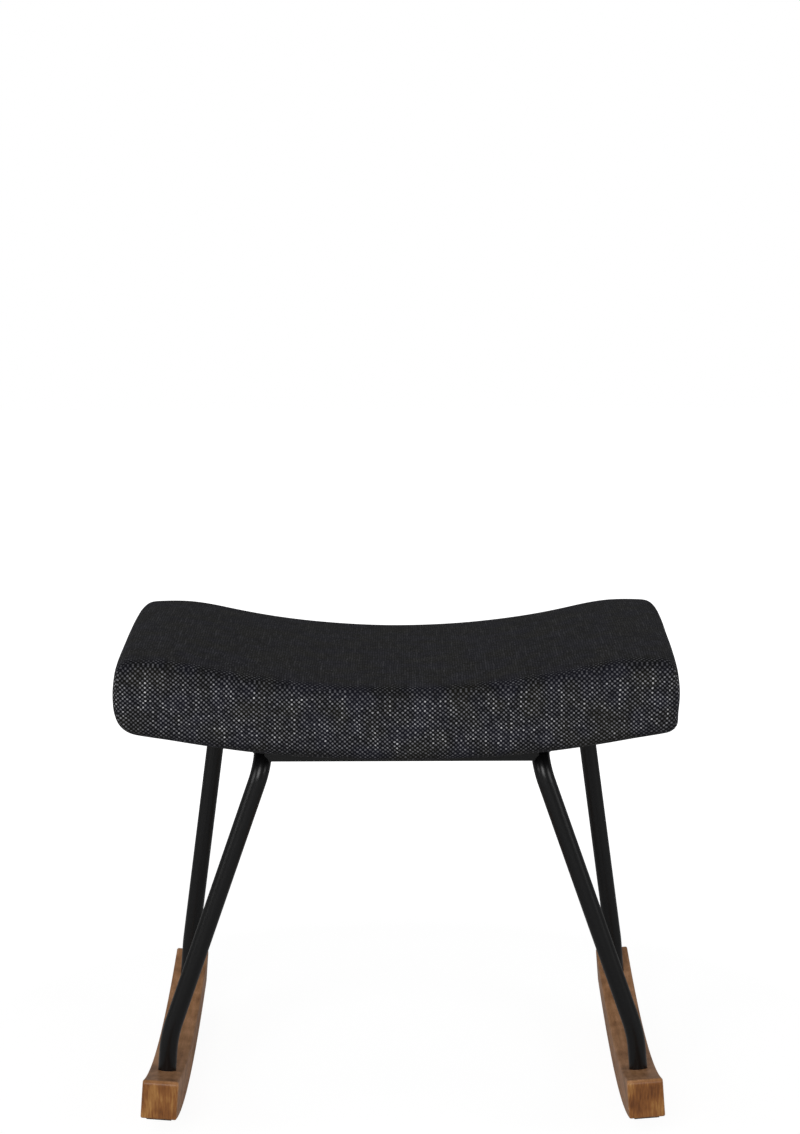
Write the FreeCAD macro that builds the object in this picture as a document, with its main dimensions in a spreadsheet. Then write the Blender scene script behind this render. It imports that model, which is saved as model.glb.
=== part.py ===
"""Rocking footstool: an upholstered saddle seat on two bent steel side frames and two hardwood rockers.

Millimetres, +Z up. The origin is on the floor under the middle of the stool, X runs across the seat
and the front of the stool faces -Y.
"""
import FreeCAD
import Part
import Sketcher
import math
import os
from FreeCAD import Placement, Rotation, Vector

# Driving sizes. Each one becomes a cell of the sheet, and everything below reads the sheet.
SIZES = {
    # Rockers: timber sawn to an arc, canted so that the top leans inwards
    "rocker_length": 410.0,
    "rocker_width": 35.0,
    "rocker_height": 39.0,
    "rocking_radius": 670.0,
    "rocker_cant": 4.5,
    "rocker_centre": 239.0,
    "rocker_edge_round": 2.0,
    "rocker_end_round": 4.0,
    # Glide strips under the rockers
    "strip_width": 24.0,
    "strip_thickness": 1.2,
    "strip_end_margin": 6.0,
    # Side frames: one bent tube each
    "tube_diameter": 18.0,
    "tube_wall": 1.5,
    "front_leg_offset": 118.0,
    "rear_leg_offset": 158.0,
    "rear_leg_lean": 12.0,
    "front_leg_top": 131.0,
    "rear_leg_top": 192.0,
    "knee_rise": 35.5,
    "knee_bend": 120.0,
    "seat_bend": 32.0,
    "rail_clearance": 0.4,
    # Tube ends in the rockers
    "socket_depth": 22.0,
    "socket_clearance": 0.3,
    "plug_length": 16.0,
    "counterbore_depth": 7.0,
    "counterbore_clearance": 0.5,
    # Cross rails: rectangular tube between the side frames
    "cross_rail_width": 25.0,
    "cross_rail_height": 12.5,
    "cross_rail_wall": 1.5,
    "cross_rail_inset": 14.0,
    "cross_rail_clearance": 0.3,
    # Seat
    "seat_width": 550.0,
    "seat_flare": 3.0,
    "seat_depth": 336.0,
    "seat_forward": 8.0,
    "seat_underside": 381.0,
    "seat_thickness": 72.5,
    "seat_peak_rise": 30.0,
    "seat_crown": 4.0,
    "saddle_radius": 815.0,
    "underside_radius": 1480.0,
    "shoulder_radius": 16.0,
    "lower_edge_radius": 17.0,
    "side_crown": 2.0,
    "front_top_round": 16.0,
    "plan_corner_round": 15.0,
    "cover_thickness": 1.2,
    "hem_width": 26.0,
    "wadding_thickness": 4.0,
    "board_thickness": 12.0,
    "board_inset": 20.0,
    "board_corner_round": 20.0,
    "dust_cover_thickness": 0.6,
    "dust_cover_overlap": 12.0,
    "dust_cover_clearance": 0.3,
    # Machine screws and washers
    "screw_diameter": 6.0,
    "screw_hole_clearance": 0.3,
    "screw_head_diameter": 10.5,
    "screw_head_height": 3.3,
    "screw_socket_width": 4.0,
    "screw_socket_depth": 2.0,
    "washer_diameter": 12.0,
    "washer_thickness": 1.6,
    "spring_washer_diameter": 11.0,
    "spring_washer_thickness": 1.6,
    "spring_washer_slit": 1.2,
    "seat_screw_length": 35.0,
    "seat_screw_setback": 48.0,
    "rocker_screw_length": 25.0,
    # Tee nuts in the board
    "tee_flange_diameter": 19.0,
    "tee_flange_thickness": 1.5,
    "tee_barrel_diameter": 7.8,
    "tee_barrel_length": 9.0,
    "tee_clearance": 0.2,
    # Staples
    "staple_crown": 10.0,
    "staple_wire_width": 1.2,
    "staple_wire_thickness": 0.6,
    "staple_leg": 8.0,
    "staple_spacing": 48.0,
    "staple_edge_distance": 7.0,
}

# Shares that give small forms their shape
HEAD_RIM_SHARE = 0.35
HEAD_FLAT_SHARE = 0.55
HEAD_SHOULDER_SHARES = (0.87, 0.78)
END_SOFTENING = 0.6

doc = FreeCAD.newDocument("RockingFootstool")
sheet = doc.addObject("Spreadsheet::Sheet", "Sizes")
for row, (alias, number) in enumerate(SIZES.items(), start=1):
    sheet.set(f"A{row}", alias)
    sheet.set(f"B{row}", str(number))
    sheet.setAlias(f"B{row}", alias)
doc.recompute()

nodes = []


def size(alias):
    """A size, read back from the sheet."""
    return float(sheet.get(alias))


def add_node(label, item):
    """Name a finished object and put it on the list of pieces to write."""
    item.Label = label
    nodes.append(item)
    return item


def add_shape(label, shape):
    """A piece whose shape comes from Part's own functions."""
    item = doc.addObject("Part::Feature", label)
    item.Shape = shape
    return add_node(label, item)


def bind(item, **expressions):
    """Bind properties of an object to the sheet. A double underscore stands for a dot."""
    for name, expression in expressions.items():
        item.setExpression(name.replace("__", "."), expression)


def origin_plane(body, role):
    """One of a body's own origin planes."""
    return next(item for item in body.Origin.OriginFeatures if item.Role == role)


def new_sketch(body, role, name):
    """An empty sketch on one of the body's origin planes."""
    sketch = body.newObject("Sketcher::SketchObject", name)
    sketch.AttachmentSupport = (origin_plane(body, role), "")
    sketch.MapMode = "FlatFace"
    return sketch


# Places that several pieces share

def rocker_lift():
    """Height of the rocker's bottom centre line, so that the canted glide strip just meets the floor."""
    cant = math.radians(size("rocker_cant"))
    return size("strip_width") / 2 * math.sin(cant) + size("strip_thickness") * math.cos(cant)


def rocker_placement(side):
    """Frame of a rocker: origin at the lowest point of its bottom centre line. Side is -1 or 1."""
    turn = Rotation(Vector(0, 1, 0), -side * size("rocker_cant"))
    return Placement(Vector(side * size("rocker_centre"), 0, rocker_lift()), turn)


def arc_rise(radius, offset):
    """How far an arc that is level at its middle has risen at this distance from it."""
    return radius - math.sqrt(radius ** 2 - offset ** 2)


def leg_rows():
    """Distance along Y of the front and rear legs."""
    return -size("front_leg_offset"), size("rear_leg_offset")


def rail_rows():
    """Distance along Y of the bends at the seat. The rear leg leans forward to reach its own."""
    front, rear = leg_rows()
    return front, rear - size("rear_leg_lean")


def rocker_top(along):
    """Height of the rocker's upper face in its own frame."""
    return size("rocker_height") + arc_rise(size("rocking_radius"), along)


def underside_height(across, above):
    """Height of the arched surface that lies this far above the seat's underside."""
    return size("seat_underside") + above + arc_rise(size("underside_radius") - above, across)


def arch_centre():
    """Centre of the arches that the underside, the board and the dust cover share."""
    return Vector(0, 0, size("seat_underside") + size("underside_radius"))


def arch_frame(point):
    """Frame at a point, with +Z square to the arched underside."""
    centre = arch_centre()
    tilt = math.degrees(math.atan2(-point.x, centre.z - point.z))
    return Placement(point, Rotation(Vector(0, 1, 0), tilt))


def distance_to_arch(point, above):
    """Distance from a point to the arched surface that lies this far above the underside."""
    centre = arch_centre()
    return math.hypot(point.x, centre.z - point.z) - (size("underside_radius") - above)


def dust_cover_level():
    """The dust cover's lower face where it lies under the board, above the seat's underside."""
    return size("cover_thickness") - size("dust_cover_clearance") - size("dust_cover_thickness")


def rail_axis_height(across):
    """Height of the under-seat tube's axis at this distance from the centre plane."""
    drop = size("tube_diameter") / 2 + size("rail_clearance")
    return underside_height(across, dust_cover_level() - drop)


def frame_points(side):
    """Corner points of one side frame's centre line, from the front tube end to the rear one."""
    place = rocker_placement(side)
    ends = []
    for along in leg_rows():
        top = rocker_top(along)
        foot = place.multVec(Vector(0, along, top - size("socket_depth")))
        knee = place.multVec(Vector(0, along, top + size("knee_rise")))
        ends.append((foot, knee))
    front, rear = rail_rows()
    front_corner = Vector(side * size("front_leg_top"), front, rail_axis_height(size("front_leg_top")))
    rear_corner = Vector(side * size("rear_leg_top"), rear, rail_axis_height(size("rear_leg_top")))
    return [ends[0][0], ends[0][1], front_corner, rear_corner, ends[1][1], ends[1][0]]


def seat_screw_places():
    """Frame of each seat screw: origin on the tube's axis, +Z square to the board."""
    places = []
    for side in (-1, 1):
        front_corner, rear_corner = frame_points(side)[2:4]
        setback = size("seat_screw_setback")
        for along in (front_corner.y + setback, rear_corner.y - setback):
            share = (along - front_corner.y) / (rear_corner.y - front_corner.y)
            point = front_corner + (rear_corner - front_corner) * share
            places.append(arch_frame(point))
    return places


def rocker_screw_places():
    """Frame at the floor of each socket, with +Z up the tube."""
    places = []
    for side in (-1, 1):
        for along in leg_rows():
            floor = Vector(0, along, rocker_top(along) - size("socket_depth"))
            places.append(rocker_placement(side).multiply(Placement(floor, Rotation())))
    return places


# Small solids, each standing on +Z from the origin

def cylinder(diameter, length, start=0.0):
    """A cylinder on the Z axis."""
    return Part.makeCylinder(diameter / 2, length, Vector(0, 0, start))


def button_screw(length):
    """Machine screw with a button head below z = 0 and its shank above, threads as plain cylinders."""
    head_radius = size("screw_head_diameter") / 2
    head_height = size("screw_head_height")
    rim = head_height * HEAD_RIM_SHARE
    crown_radius = head_radius * HEAD_FLAT_SHARE
    low = Vector(crown_radius, 0, -head_height)
    across_share, height_share = HEAD_SHOULDER_SHARES
    middle = Vector(head_radius * across_share, 0, -head_height * height_share)
    outer = Vector(head_radius, 0, -rim)
    profile = Part.Wire([
        Part.LineSegment(Vector(0, 0, -head_height), low).toShape(),
        Part.Arc(low, middle, outer).toShape(),
        Part.LineSegment(outer, Vector(head_radius, 0, 0)).toShape(),
        Part.LineSegment(Vector(head_radius, 0, 0), Vector(0, 0, 0)).toShape(),
        Part.LineSegment(Vector(0, 0, 0), Vector(0, 0, -head_height)).toShape(),
    ])
    head = Part.Face(profile).revolve(Vector(0, 0, 0), Vector(0, 0, 1), 360)
    corner = size("screw_socket_width") / math.sqrt(3)
    hexagon = []
    for k in range(7):
        angle = math.radians(60 * k)
        hexagon.append(Vector(corner * math.cos(angle), corner * math.sin(angle), -head_height))
    key_socket = Part.Face(Part.makePolygon(hexagon)).extrude(Vector(0, 0, size("screw_socket_depth")))
    shank = cylinder(size("screw_diameter"), length)
    return head.cut(key_socket).fuse(shank).removeSplitter()


def flat_washer():
    """Flat washer whose upper face is at z = 0."""
    thickness = size("washer_thickness")
    hole = size("screw_diameter") + 2 * size("screw_hole_clearance")
    disc = cylinder(size("washer_diameter"), thickness, -thickness)
    return disc.cut(cylinder(hole, thickness, -thickness))


def spring_washer():
    """Split washer, pressed flat, whose upper face is at z = 0."""
    thickness = size("spring_washer_thickness")
    hole = size("screw_diameter") + 2 * size("screw_hole_clearance")
    ring = cylinder(size("spring_washer_diameter"), thickness, -thickness).cut(
        cylinder(hole, thickness, -thickness))
    slit = Part.makeBox(size("spring_washer_diameter"), size("spring_washer_slit"), thickness,
                        Vector(0, -size("spring_washer_slit") / 2, -thickness))
    return ring.cut(slit)


def tee_nut():
    """Tee nut whose flange stands on z = 0, with its threaded barrel below."""
    barrel = cylinder(size("tee_barrel_diameter"), size("tee_barrel_length"), -size("tee_barrel_length"))
    flange = cylinder(size("tee_flange_diameter"), size("tee_flange_thickness"))
    length = size("tee_barrel_length") + size("tee_flange_thickness")
    thread = cylinder(size("screw_diameter"), length, -size("tee_barrel_length"))
    return barrel.fuse(flange).cut(thread).removeSplitter()


def leg_plug():
    """Threaded plug in a tube end, standing on z = 0."""
    bore = size("tube_diameter") - 2 * size("tube_wall")
    return cylinder(bore, size("plug_length")).cut(cylinder(size("screw_diameter"), size("plug_length")))


def staple():
    """Staple with its crown under z = 0 along X and its legs above."""
    crown = size("staple_crown")
    width = size("staple_wire_width")
    thick = size("staple_wire_thickness")
    leg = size("staple_leg")
    bridge = Part.makeBox(crown, width, thick, Vector(-crown / 2, -width / 2, 0))
    left = Part.makeBox(thick, width, leg, Vector(-crown / 2, -width / 2, thick))
    right = Part.makeBox(thick, width, leg, Vector(crown / 2 - thick, -width / 2, thick))
    return bridge.multiFuse([left, right]).removeSplitter()


def placed(shape, place):
    """A copy of a shape at a placement."""
    copy = shape.copy()
    copy.Placement = place.multiply(copy.Placement)
    return copy


def shifted(place, distance):
    """The placement moved along its own Z axis."""
    return place.multiply(Placement(Vector(0, 0, distance), Rotation()))


# Rockers and their glide strips

def value(expression):
    """The number that an expression on the sheet stands for."""
    return float(sheet.evalExpression(expression))


def band_sketch(body, role, name, length, lower, upper):
    """Band between two arcs that are level at the middle, closed by upright ends.

    Lower and upper are each a radius and the height of the arc's centre, all as expressions.
    """
    sketch = new_sketch(body, role, name)
    half = value(length) / 2
    ends = []
    for radius, centre in (lower, upper):
        ends.append(value(centre) - math.sqrt(value(radius) ** 2 - half ** 2))
    arcs = []
    for radius, centre in (lower, upper):
        swing = math.asin(half / value(radius))
        circle = Part.Circle(Vector(0, value(centre), 0), Vector(0, 0, 1), value(radius))
        arcs.append(Part.ArcOfCircle(circle, -math.pi / 2 - swing, -math.pi / 2 + swing))
    bottom = sketch.addGeometry(arcs[0], False)
    right = sketch.addGeometry(Part.LineSegment(Vector(half, ends[0], 0), Vector(half, ends[1], 0)), False)
    top = sketch.addGeometry(arcs[1], False)
    left = sketch.addGeometry(Part.LineSegment(Vector(-half, ends[1], 0), Vector(-half, ends[0], 0)), False)
    sketch.addConstraint([
        Sketcher.Constraint("Coincident", bottom, 2, right, 1),
        Sketcher.Constraint("Coincident", right, 2, top, 2),
        Sketcher.Constraint("Coincident", top, 1, left, 1),
        Sketcher.Constraint("Coincident", left, 2, bottom, 1),
        Sketcher.Constraint("Vertical", right),
        Sketcher.Constraint("Vertical", left),
        Sketcher.Constraint("Symmetric", bottom, 1, bottom, 2, -2),
        Sketcher.Constraint("PointOnObject", top, 3, -2),
    ])
    driven = (
        ("length", Sketcher.Constraint("DistanceX", bottom, 1, bottom, 2, value(length)), length),
        ("lower_radius", Sketcher.Constraint("Radius", bottom, value(lower[0])), lower[0]),
        ("lower_centre", Sketcher.Constraint("DistanceY", -1, 1, bottom, 3, value(lower[1])), lower[1]),
        ("upper_radius", Sketcher.Constraint("Radius", top, value(upper[0])), upper[0]),
        ("upper_centre", Sketcher.Constraint("DistanceY", -1, 1, top, 3, value(upper[1])), upper[1]),
    )
    for label, constraint, expression in driven:
        sketch.renameConstraint(sketch.addConstraint(constraint), label)
        sketch.setExpression(f"Constraints.{label}", expression)
    return sketch


def pad_both_ways(body, sketch, width):
    """Pad a sketch by half the width to each side of its plane."""
    pad = body.newObject("PartDesign::Pad", sketch.Name + "_pad")
    pad.Profile = sketch
    pad.SideType = "Symmetric"
    bind(pad, Length=width)
    doc.recompute()
    return pad


def round_edges(body, base, name, radius, chosen):
    """Fillet the edges of a feature whose middle point passes the test."""
    fillet = body.newObject("PartDesign::Fillet", name)
    names = [
        f"Edge{number}" for number, edge in enumerate(base.Shape.Edges, start=1)
        if chosen(edge.valueAt((edge.FirstParameter + edge.LastParameter) / 2))
    ]
    fillet.Base = (base, names)
    bind(fillet, Radius=radius)
    doc.recompute()
    return fillet


def bore_down(body, name, radius, depth, along, level):
    """Drill a round hole along the body's Z axis. Level is the height of its lower end."""
    hole = body.newObject("PartDesign::SubtractiveCylinder", name)
    bind(hole, Radius=radius, Height=depth, Placement__Base__y=along, Placement__Base__z=level)
    doc.recompute()
    return hole


def make_rocker(label, side):
    """One rocker: sawn arc, eased edges, two tube sockets and their screw holes from below."""
    body = doc.addObject("PartDesign::Body", label)
    radius = "Sizes.rocking_radius"
    sketch = band_sketch(body, "YZ_Plane", f"{label}_profile", "Sizes.rocker_length",
                         (radius, radius), (radius, f"{radius} + Sizes.rocker_height"))
    pad = pad_both_ways(body, sketch, "Sizes.rocker_width")
    half_width = size("rocker_width") / 2
    end = size("rocker_length") / 2
    middle_height = arc_rise(size("rocking_radius"), end) + size("rocker_height") / 2
    ends = round_edges(body, pad, f"{label}_end_rounds", "Sizes.rocker_end_round",
                       lambda p: (abs(p.x) < 0.1 * half_width
                                  and abs(p.y) > 0.99 * end and p.z > middle_height))
    round_edges(body, ends, f"{label}_edge_rounds", "Sizes.rocker_edge_round",
                lambda p: (abs(p.x) > 0.9 * half_width
                           or (abs(p.y) > 0.99 * end and p.z < middle_height)))
    for row, along in (("front", "-Sizes.front_leg_offset"), ("rear", "Sizes.rear_leg_offset")):
        rise = f"{radius} - sqrt({radius} ^ 2 - ({along}) ^ 2)"
        floor = f"{rise} + Sizes.rocker_height - Sizes.socket_depth"
        bore_down(body, f"{label}_{row}_socket", "Sizes.tube_diameter / 2 + Sizes.socket_clearance",
                  "Sizes.socket_depth * 2", along, floor)
        bore_down(body, f"{label}_{row}_screw_hole", "Sizes.screw_diameter / 2 + Sizes.screw_hole_clearance",
                  "Sizes.rocker_height", along, rise)
        bore_down(body, f"{label}_{row}_counterbore",
                  "Sizes.washer_diameter / 2 + Sizes.counterbore_clearance",
                  "Sizes.counterbore_depth * 2", along, f"{rise} - Sizes.counterbore_depth")
    body.Placement = rocker_placement(side)
    return add_node(label, body)


def make_glide_strip(label, side):
    """Thin strip that follows the underside of a rocker and covers its screw heads."""
    body = doc.addObject("PartDesign::Body", label)
    radius = "Sizes.rocking_radius"
    sketch = band_sketch(body, "YZ_Plane", f"{label}_profile",
                         "Sizes.rocker_length - 2 * Sizes.strip_end_margin",
                         (f"{radius} + Sizes.strip_thickness", radius), (radius, radius))
    pad_both_ways(body, sketch, "Sizes.strip_width")
    body.Placement = rocker_placement(side)
    return add_node(label, body)


# Steel frame

def straight_rod(start, end, radius):
    """A round bar between two points."""
    run = end - start
    return Part.makeCylinder(radius, run.Length, start, run)


def bent_rod(points, bend_radii, radius):
    """A round bar along straight runs joined by tangent bends, one bend radius per corner."""
    solids = []
    start = points[0]
    for corner, bend, before, after in zip(points[1:-1], bend_radii, points[:-2], points[2:]):
        back = (before - corner).normalize()
        onward = (after - corner).normalize()
        turn = math.pi - back.getAngle(onward)
        tangent = bend * math.tan(turn / 2)
        bend_start = corner + back * tangent
        bend_end = corner + onward * tangent
        solids.append(straight_rod(start, bend_start, radius))
        middle = (back + onward).normalize()
        centre = corner + middle * (bend / math.cos(turn / 2))
        heading = back * -1
        disc = Part.Face(Part.Wire(Part.makeCircle(radius, bend_start, heading)))
        solids.append(disc.revolve(centre, heading.cross(onward), math.degrees(turn)))
        start = bend_end
    solids.append(straight_rod(start, points[-1], radius))
    return solids[0].multiFuse(solids[1:]).removeSplitter()


def frame_rod(side, radius, past_ends=0.0):
    """Solid bar on a side frame's centre line, run past both tube ends by a length."""
    points = frame_points(side)
    points[0] = points[0] + (points[0] - points[1]).normalize() * past_ends
    points[-1] = points[-1] + (points[-1] - points[-2]).normalize() * past_ends
    bends = [size("knee_bend"), size("seat_bend"), size("seat_bend"), size("knee_bend")]
    return bent_rod(points, bends, radius)


def make_side_frame(label, side):
    """One bent tube: front leg, under-seat rail and rear leg, drilled for the seat screws."""
    outer = frame_rod(side, size("tube_diameter") / 2)
    bore = frame_rod(side, size("tube_diameter") / 2 - size("tube_wall"), size("tube_wall"))
    tube = outer.cut(bore)
    hole = size("screw_diameter") + 2 * size("screw_hole_clearance")
    drill = cylinder(hole, 2 * size("tube_diameter"), -size("tube_diameter"))
    for place in seat_screw_places():
        if place.Base.x * side > 0:
            tube = tube.cut(placed(drill, place))
    return add_shape(label, tube)


def make_cross_rail(label, along):
    """Rectangular tube across the frame, its ends coped to the side frames."""
    front_corner, rear_corner = frame_points(1)[2:4]
    share = (along - front_corner.y) / (rear_corner.y - front_corner.y)
    width = size("cross_rail_width")
    height = size("cross_rail_height")
    wall = size("cross_rail_wall")
    reach = 2 * (front_corner + (rear_corner - front_corner) * share).x
    below = size("dust_cover_thickness") + size("staple_wire_thickness") + size("cross_rail_clearance")
    top = size("seat_underside") - below
    low = Vector(-reach / 2, along - width / 2, top - height)
    outside = Part.makeBox(reach, width, height, low)
    inside = Part.makeBox(reach, width - 2 * wall, height - 2 * wall, low + Vector(0, wall, wall))
    rail = outside.cut(inside)
    for side in (-1, 1):
        rail = rail.cut(frame_rod(side, size("tube_diameter") / 2))
    return add_shape(label, rail)


# Seat

def rounding(radius, distance):
    """How far a quarter round lies inside the square edge at this distance from the face."""
    if distance >= radius:
        return 0.0
    return radius - math.sqrt(radius ** 2 - (radius - distance) ** 2)


def seat_section(inset, distance, along):
    """Closed section across the seat at one place along Y, for a layer this far inside the cloth.

    Distance is how far the section lies behind the layer's nearest end face. The underside is an
    arch, the sides have a slight crown, and the saddle rises to a soft peak near each side. The
    seat is a little wider at the back than at the front.
    """
    round_top = size("front_top_round") - inset
    round_low = size("lower_edge_radius") - inset
    round_plan = size("plan_corner_round") - inset
    softness = 1 - END_SOFTENING * rounding(round_low, distance) / round_low
    crown_drop = size("seat_crown") * ((along + size("seat_forward")) / (size("seat_depth") / 2)) ** 2
    flare = size("seat_flare") * (along + size("seat_forward")) / (size("seat_depth") / 2)
    half = size("seat_width") / 2 + flare - size("side_crown") - inset - rounding(round_plan, distance)
    bottom = size("seat_underside") + inset + rounding(round_low, distance)
    top = size("seat_underside") + size("seat_thickness") - inset
    top -= crown_drop + rounding(round_top, distance)
    under = size("underside_radius") - inset
    corner = round_low * softness
    shoulder = (size("shoulder_radius") - inset) * softness
    saddle = size("saddle_radius") + inset
    peak = half - shoulder
    lean = 2 * math.atan(size("seat_peak_rise") / peak)
    swell = peak / math.sin(lean) - saddle
    peak_height = top + size("seat_peak_rise")

    def on_circle(centre_x, centre_z, radius, degrees):
        angle = math.radians(degrees)
        return Vector(centre_x + radius * math.cos(angle), along, centre_z + radius * math.sin(angle))

    lean_degrees = math.degrees(lean)
    saddle_end = on_circle(0, top + saddle, saddle, lean_degrees - 90)
    swell_middle = on_circle(peak, peak_height - swell, swell, 90 + lean_degrees / 2)
    peak_point = Vector(peak, along, peak_height)
    shoulder_middle = on_circle(peak, peak_height - shoulder, shoulder, 45)
    side_top = Vector(half, along, peak_height - shoulder)
    corner_x = half - corner
    corner_z = bottom + under - math.sqrt((under - corner) ** 2 - corner_x ** 2)
    side_bottom = Vector(half, along, corner_z)
    side_middle = Vector(half + size("side_crown"), along, (side_top.z + side_bottom.z) / 2)
    slope = math.degrees(math.asin(corner_x / (under - corner)))
    arch_end = on_circle(corner_x, corner_z, corner, slope - 90)
    corner_middle = on_circle(corner_x, corner_z, corner, (slope - 90) / 2)
    right = [
        (arch_end, corner_middle, side_bottom),
        (side_bottom, side_middle, side_top),
        (side_top, shoulder_middle, peak_point),
        (peak_point, swell_middle, saddle_end),
    ]

    def mirrored(point):
        return Vector(-point.x, point.y, point.z)

    left = [tuple(mirrored(point) for point in reversed(arc)) for arc in reversed(right)]
    saddle_arc = (saddle_end, Vector(0, along, top), mirrored(saddle_end))
    arch_arc = (mirrored(arch_end), Vector(0, along, bottom), arch_end)
    arcs = [arch_arc] + right + [saddle_arc] + left
    return Part.Wire([Part.Arc(*arc).toShape() for arc in arcs])


def seat_block(inset):
    """The seat's outer form, or a layer inside it, lofted from front to back."""
    middle = -size("seat_forward")
    half_depth = size("seat_depth") / 2 - inset
    reach = size("plan_corner_round") - inset
    round_steps = 6
    crown_steps = 3
    distances = [reach * (1 - math.cos(math.pi / 2 * k / round_steps)) for k in range(round_steps + 1)]
    distances += [reach + (half_depth - reach) * k / crown_steps for k in range(1, crown_steps + 1)]
    stations = [(distance, middle - half_depth + distance) for distance in distances]
    stations += [(distance, middle + half_depth - distance) for distance in distances[-2::-1]]
    sections = [seat_section(inset, distance, along) for distance, along in stations]
    return Part.makeLoft(sections, True, True)


def rounded_prism(edge_inset, corner):
    """Tall prism on the seat's outline, inset and with rounded corners."""
    half = size("seat_width") / 2 - edge_inset
    half_depth = size("seat_depth") / 2 - edge_inset
    middle = -size("seat_forward")
    edges = []
    for quarter, (sign_x, sign_y) in enumerate(((1, 1), (-1, 1), (-1, -1), (1, -1))):
        centre = Vector(sign_x * (half - corner), middle + sign_y * (half_depth - corner), 0)
        start, end = math.radians(90 * quarter), math.radians(90 * quarter + 90)
        edges.append(Part.ArcOfCircle(Part.Circle(centre, Vector(0, 0, 1), corner), start, end).toShape())
    joined = []
    for arc, following in zip(edges, edges[1:] + edges[:1]):
        joined.append(arc)
        joined.append(Part.makeLine(arc.Vertexes[-1].Point, following.Vertexes[0].Point))
    height = size("seat_underside") + size("underside_radius")
    return Part.Face(Part.Wire(joined)).extrude(Vector(0, 0, height))


def arched_slab(edge_inset, low, high, corner):
    """Slab between two arched levels above the underside, inset from the seat's outline."""
    centre = arch_centre() - Vector(0, size("seat_depth"), 0)
    length = 2 * size("seat_depth")
    along = Vector(0, 1, 0)
    wide = Part.makeCylinder(size("underside_radius") - low, length, centre, along)
    narrow = Part.makeCylinder(size("underside_radius") - high, length, centre, along)
    return rounded_prism(edge_inset, corner).common(wide).cut(narrow)


def make_seat_board():
    """Bent plywood board, drilled for the tee nuts and pierced by the staples."""
    body = doc.addObject("PartDesign::Body", "board_blank")
    radius = "Sizes.underside_radius - Sizes.cover_thickness"
    centre = "Sizes.seat_underside + Sizes.underside_radius"
    sketch = band_sketch(body, "XZ_Plane", "board_profile", "Sizes.seat_width - 2 * Sizes.board_inset",
                         (radius, centre), (f"{radius} - Sizes.board_thickness", centre))
    pad = pad_both_ways(body, sketch, "Sizes.seat_depth - 2 * Sizes.board_inset")
    half = size("seat_width") / 2 - size("board_inset")
    half_depth = size("seat_depth") / 2 - size("board_inset")
    round_edges(body, pad, "board_corners", "Sizes.board_corner_round",
                lambda p: abs(p.x) > half - 0.01 and abs(p.y) > half_depth - 0.01)
    bind(body, Placement__Base__y="-Sizes.seat_forward")
    hole = size("tee_barrel_diameter") + 2 * size("tee_clearance")
    drill = cylinder(hole, 2 * size("board_thickness"), -1.5 * size("board_thickness"))
    cuts = [placed(drill, place) for place in tee_nut_places()]
    tools = doc.addObject("Part::Feature", "board_holes")
    tools.Shape = Part.makeCompound(cuts + cover_staple_solids() + dust_cover_staple_solids())
    drilled = doc.addObject("Part::Cut", "seat_base")
    drilled.Base = body
    drilled.Tool = tools
    doc.recompute()
    return add_node("seat_base", drilled)


def tee_nut_places():
    """Frames on the board's upper face, one over each seat screw."""
    board_top = size("cover_thickness") + size("board_thickness")
    return [shifted(place, distance_to_arch(place.Base, board_top)) for place in seat_screw_places()]


def staple_places(edge_inset, level):
    """Frames of the staples that run round the underside at one inset from the seat's outline."""
    half = size("seat_width") / 2 - edge_inset
    half_depth = size("seat_depth") / 2 - edge_inset
    middle = -size("seat_forward")
    straight = size("plan_corner_round") + size("staple_crown")
    places = []
    for reach, depth, turned in ((half, half_depth, 0), (half_depth, half, 90)):
        run = 2 * (reach - straight)
        count = int(run // size("staple_spacing")) + 2
        for k in range(count):
            offset = run * (k / (count - 1) - 0.5)
            for edge in (-depth, depth):
                x, y = (offset, edge) if turned == 0 else (edge, offset)
                point = Vector(x, middle + y, underside_height(x, level))
                crown = Placement(Vector(), Rotation(Vector(0, 0, 1), turned))
                places.append(arch_frame(point).multiply(crown))
    return places


def cover_staple_solids():
    """Staples through the turned-under cover, their crowns level with its face."""
    inset = size("board_inset") + size("staple_edge_distance")
    return [placed(staple(), place) for place in staple_places(inset, 0)]


def dust_cover_staple_solids():
    """Staples through the dust cover's edge, their crowns on its face."""
    inset = size("board_inset") + size("hem_width") - size("dust_cover_overlap") / 2
    level = -size("dust_cover_thickness") - size("staple_wire_thickness")
    return [placed(staple(), place) for place in staple_places(inset, level)]


def make_seat_layers():
    """Foam, wadding and cover, each the space between two offsets of one form."""
    cover_depth = size("cover_thickness")
    foam_depth = cover_depth + size("wadding_thickness")
    outer = seat_block(0.0)
    under_cover = seat_block(cover_depth)
    under_wadding = seat_block(foam_depth)
    board_top = cover_depth + size("board_thickness")
    board_space = arched_slab(size("board_inset"), -foam_depth, board_top, size("board_corner_round"))
    clearance = size("tee_clearance")
    flange = cylinder(size("tee_flange_diameter") + 2 * clearance,
                      size("tee_flange_thickness") + 2 * clearance, -clearance)
    foam = under_wadding.cut(board_space)
    for place in tee_nut_places():
        foam = foam.cut(placed(flange, place))
    wadding = under_cover.cut(under_wadding).cut(board_space)
    window_inset = size("board_inset") + size("hem_width")
    window = arched_slab(window_inset, -foam_depth, foam_depth, size("board_corner_round"))
    cover = outer.cut(under_cover).cut(window)
    add_shape("seat_foam", foam)
    add_shape("seat_wadding", wadding)
    add_shape("seat_cover", cover)


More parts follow.
